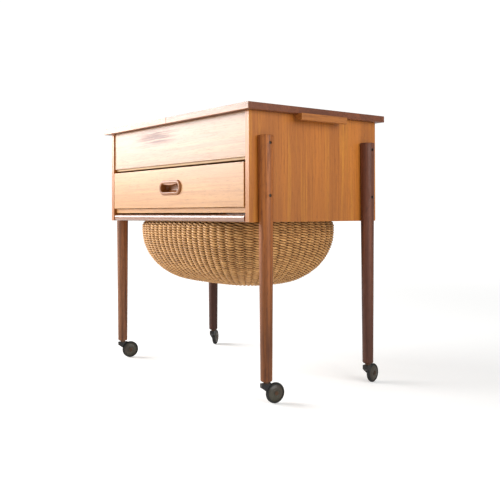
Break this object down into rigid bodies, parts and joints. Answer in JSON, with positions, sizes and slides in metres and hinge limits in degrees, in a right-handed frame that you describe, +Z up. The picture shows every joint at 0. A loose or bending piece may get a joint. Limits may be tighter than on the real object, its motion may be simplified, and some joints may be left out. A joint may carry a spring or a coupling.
{
  "type": "sewing box with trays",
  "caption": "Wooden sewing box on caster legs: two-part sliding top over sliding trays, a drawer, and a pull-out wicker basket.",
  "frame": {"origin": "on the floor under the middle of the cabinet", "axes": "+X to the right along the front, -Y out of the drawer front, +Z up"},
  "size_m": [0.6511, 0.389, 0.6],
  "materials": {
    "teak_veneer": "satin lacquered teak veneer, upright grain",
    "teak_front": "satin lacquered teak veneer, level grain",
    "teak_top": "satin lacquered teak",
    "teak_leg": "oiled turned teak",
    "teak_solid": "satin lacquered solid teak",
    "plywood": "sanded plywood",
    "beech": "sanded beech",
    "wicker": "woven cane",
    "screw_steel": "browned steel",
    "socket_steel": "plated steel",
    "fork_paint": "dark lacquered cast metal",
    "tyre": "dark grey rubber",
    "hub": "brown-black moulded plastic"
  },
  "bodies": {
    "cabinet": {"side_panel_left": "teak_veneer", "side_panel_right": "teak_veneer", "upper_front_panel": "teak_front", "back_panel": "teak_veneer", "compartment_floor": "plywood", "lower_front_rail": "teak_front", "lower_back_rail": "teak_front", "floor_dividers": "beech", "drawer_runners": "beech", "basket_runners": "beech", "top_slide_rails": "beech", "tray_ledges": "beech", "leg_front_left": "teak_leg", "leg_front_right": "teak_leg", "leg_back_left": "teak_leg", "leg_back_right": "teak_leg", "leg_screws": "screw_steel", "caster_sockets": "socket_steel"},
    "top_left": {"top_board_left": "teak_top", "top_grip_left": "teak_solid", "top_battens_left": "beech"},
    "top_right": {"top_board_right": "teak_top", "top_grip_right": "teak_solid", "top_battens_right": "beech"},
    "tray_left": {"tray_walls_left": "beech", "tray_bottom_left": "plywood", "tray_dividers_left": "beech"},
    "tray_right": {"tray_walls_right": "beech", "tray_bottom_right": "plywood", "tray_divider_right": "beech", "spool_pegs": "beech"},
    "drawer": {"drawer_front": "teak_front", "drawer_pull": "teak_solid", "drawer_side_left": "beech", "drawer_side_right": "beech", "drawer_back": "beech", "drawer_bottom": "plywood", "drawer_dividers": "beech"},
    "basket_carriage": {"basket_front_bar": "teak_solid", "basket_back_bar": "teak_solid", "basket_rail_left": "beech", "basket_rail_right": "beech", "wicker_basket": "wicker"},
    "caster_front_left": {"caster_fork_front_left": "fork_paint", "caster_pins_front_left": "socket_steel"},
    "wheel_front_left": {"caster_tyre_front_left": "tyre", "caster_hub_front_left": "hub"},
    "caster_front_right": {"caster_fork_front_right": "fork_paint", "caster_pins_front_right": "socket_steel"},
    "wheel_front_right": {"caster_tyre_front_right": "tyre", "caster_hub_front_right": "hub"},
    "caster_back_left": {"caster_fork_back_left": "fork_paint", "caster_pins_back_left": "socket_steel"},
    "wheel_back_left": {"caster_tyre_back_left": "tyre", "caster_hub_back_left": "hub"},
    "caster_back_right": {"caster_fork_back_right": "fork_paint", "caster_pins_back_right": "socket_steel"},
    "wheel_back_right": {"caster_tyre_back_right": "tyre", "caster_hub_back_right": "hub"}
  },
  "joints": [
    {"name": "top_left_slide", "type": "slide", "parent": "cabinet", "child": "top_left", "axis": [-1, 0, 0], "range_m": [0, 0.178]},
    {"name": "top_right_slide", "type": "slide", "parent": "cabinet", "child": "top_right", "axis": [1, 0, 0], "range_m": [0, 0.178]},
    {"name": "tray_left_slide", "type": "slide", "parent": "cabinet", "child": "tray_left", "axis": [1, 0, 0], "range_m": [0, 0.11]},
    {"name": "tray_right_slide", "type": "slide", "parent": "cabinet", "child": "tray_right", "axis": [-1, 0, 0], "range_m": [0, 0.11]},
    {"name": "drawer_slide", "type": "slide", "parent": "cabinet", "child": "drawer", "axis": [0, -1, 0], "range_m": [0, 0.25]},
    {"name": "basket_slide", "type": "slide", "parent": "cabinet", "child": "basket_carriage", "axis": [0, -1, 0], "range_m": [0, 0.27]},
    {"name": "caster_swivel_front_left", "type": "hinge", "parent": "cabinet", "child": "caster_front_left", "pos_m": [-0.303, -0.1455, 0.04], "axis": [0, 0, 1], "continuous": true},
    {"name": "wheel_spin_front_left", "type": "hinge", "parent": "caster_front_left", "child": "wheel_front_left", "pos_m": [-0.29749, -0.12627, 0.021], "axis": [0.9613, -0.2756, 0], "continuous": true},
    {"name": "caster_swivel_front_right", "type": "hinge", "parent": "cabinet", "child": "caster_front_right", "pos_m": [0.303, -0.1455, 0.04], "axis": [0, 0, 1], "continuous": true},
    {"name": "wheel_spin_front_right", "type": "hinge", "parent": "caster_front_right", "child": "wheel_front_right", "pos_m": [0.30613, -0.12575, 0.021], "axis": [0.9877, -0.1564, 0], "continuous": true},
    {"name": "caster_swivel_back_left", "type": "hinge", "parent": "cabinet", "child": "caster_back_left", "pos_m": [-0.303, 0.1455, 0.04], "axis": [0, 0, 1], "continuous": true},
    {"name": "wheel_spin_back_left", "type": "hinge", "parent": "caster_back_left", "child": "wheel_back_left", "pos_m": [-0.31531, 0.16126, 0.021], "axis": [0.788, 0.6157, 0], "continuous": true},
    {"name": "caster_swivel_back_right", "type": "hinge", "parent": "cabinet", "child": "caster_back_right", "pos_m": [0.303, 0.1455, 0.04], "axis": [0, 0, 1], "continuous": true},
    {"name": "wheel_spin_back_right", "type": "hinge", "parent": "caster_back_right", "child": "wheel_back_right", "pos_m": [0.2985, 0.16499, 0.021], "axis": [0.9744, 0.225, 0], "continuous": true}
  ]
}
